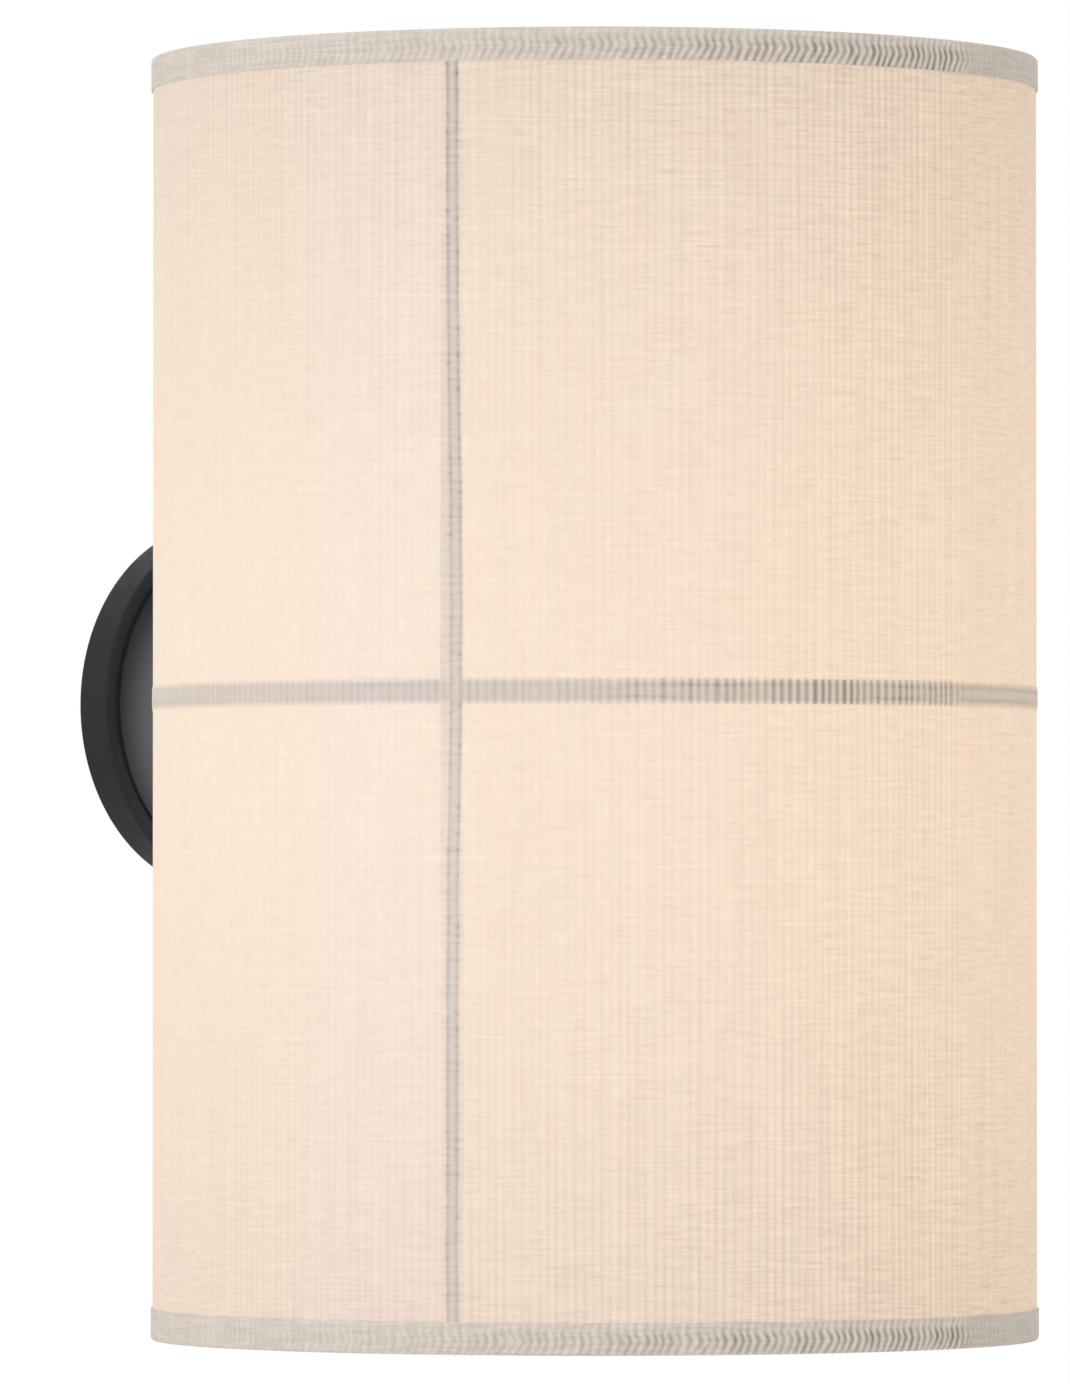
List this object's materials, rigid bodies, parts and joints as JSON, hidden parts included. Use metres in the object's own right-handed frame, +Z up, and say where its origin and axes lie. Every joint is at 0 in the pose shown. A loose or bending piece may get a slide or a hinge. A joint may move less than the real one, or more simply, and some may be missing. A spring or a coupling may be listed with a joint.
{
  "type": "fabric shade wall light",
  "caption": "Wall light with a full drum fabric shade, hung by a spider on an arm from a round domed wall plate, with upright screw-in bulbs inside.",
  "frame": {"origin": "centre of the wall plate, on the wall's face", "axes": "+Z up, +Y into the wall, so the room is at -Y and +X is to the right of someone who faces the wall"},
  "size_m": [0.2802, 0.3211, 0.404],
  "materials": {
    "linen": "slubbed linen, glowing from inside",
    "liner_white": "matt translucent liner",
    "seam_tape": "folded linen tape",
    "rim_tape": "bias-cut ribbed tape",
    "wall_black": "satin black paint",
    "zinc_steel": "zinc plated",
    "ground_green": "green dyed screw",
    "connector_orange": "moulded, matt",
    "holder_black": "moulded phenolic, satin",
    "core_white": "glazed ceramic white",
    "brass": "stamped brass",
    "bulb_glass": "frosted",
    "bulb_cap": "nickel plated, rolled thread",
    "black_glass": "fused black glass",
    "filament": "coated filament rods",
    "driver_board": "potted board",
    "lead_black": "stranded lead, sleeved",
    "lead_white": "stranded lead, sleeved",
    "wire_white": "white painted steel wire",
    "grommet_white": "moulded nylon"
  },
  "bodies": {
    "fixture": {"arm_tube": "wall_black", "bar_cover": "wall_black", "canopy": "wall_black", "canopy_collar": "wall_black", "centre_contacts": "brass", "cover_screws": "zinc_steel", "grommet_inner": "grommet_white", "grommet_outer": "grommet_white", "ground_screw": "ground_green", "holder_cores": "core_white", "holder_shell_left": "holder_black", "holder_shell_right": "holder_black", "hub": "wall_black", "jumper_leads": "lead_white", "lead_live": "lead_black", "lead_neutral": "lead_white", "lower_stem": "wall_black", "nipple": "zinc_steel", "nipple_nut": "zinc_steel", "nipple_washer": "zinc_steel", "panel_front_lower": "linen", "panel_front_upper": "linen", "panel_left_lower": "linen", "panel_left_upper": "linen", "panel_right_lower": "linen", "panel_right_upper": "linen", "ring_bottom": "wire_white", "ring_top": "wire_white", "screw_shells": "brass", "seam_back": "seam_tape", "seam_left": "seam_tape", "seam_right": "seam_tape", "seam_waist": "seam_tape", "shade_liner": "liner_white", "socket_bar": "wall_black", "socket_nipples": "zinc_steel", "socket_nuts": "zinc_steel", "spider_spokes": "wire_white", "spider_washer": "wire_white", "stem_nut": "zinc_steel", "trim_bottom": "rim_tape", "trim_top": "rim_tape", "upper_stem": "wall_black", "wall_bracket": "zinc_steel", "wire_connectors": "connector_orange"},
    "bulb_left_core": {"bulb_left_driver": "driver_board"},
    "bulb_left": {"bulb_left_cap": "bulb_cap", "bulb_left_contact": "brass", "bulb_left_filaments": "filament", "bulb_left_glass": "bulb_glass", "bulb_left_insulator": "black_glass"},
    "bulb_right_core": {"bulb_right_driver": "driver_board"},
    "bulb_right": {"bulb_right_cap": "bulb_cap", "bulb_right_contact": "brass", "bulb_right_filaments": "filament", "bulb_right_glass": "bulb_glass", "bulb_right_insulator": "black_glass"},
    "finial_seat": {"finial_washer": "wall_black"},
    "finial_knob": {"finial": "wall_black"}
  },
  "joints": [
    {"name": "bulb_left_rise", "type": "slide", "parent": "fixture", "child": "bulb_left_core", "axis": [0, 0, 1], "range_m": [0, 0.0164]},
    {"name": "bulb_left_turn", "type": "hinge", "parent": "bulb_left_core", "child": "bulb_left", "pos_m": [-0.048, -0.181, 0], "axis": [0, 0, 1], "range_deg": [0, 1620]},
    {"name": "bulb_right_rise", "type": "slide", "parent": "fixture", "child": "bulb_right_core", "axis": [0, 0, 1], "range_m": [0, 0.0164]},
    {"name": "bulb_right_turn", "type": "hinge", "parent": "bulb_right_core", "child": "bulb_right", "pos_m": [0.048, -0.181, 0], "axis": [0, 0, 1], "range_deg": [0, 1620]},
    {"name": "finial_rise", "type": "slide", "parent": "fixture", "child": "finial_seat", "axis": [0, 0, 1], "range_m": [0, 0.00805]},
    {"name": "finial_turn", "type": "hinge", "parent": "finial_seat", "child": "finial_knob", "pos_m": [0, -0.181, 0], "axis": [0, 0, 1], "range_deg": [0, 3060]}
  ],
  "couplings": [
    {"joint": "bulb_left_rise", "follows": "bulb_left_turn", "m_per_rad": 0.00057757},
    {"joint": "bulb_right_rise", "follows": "bulb_right_turn", "m_per_rad": 0.00057757},
    {"joint": "finial_rise", "follows": "finial_turn", "m_per_rad": 0.00014972}
  ]
}
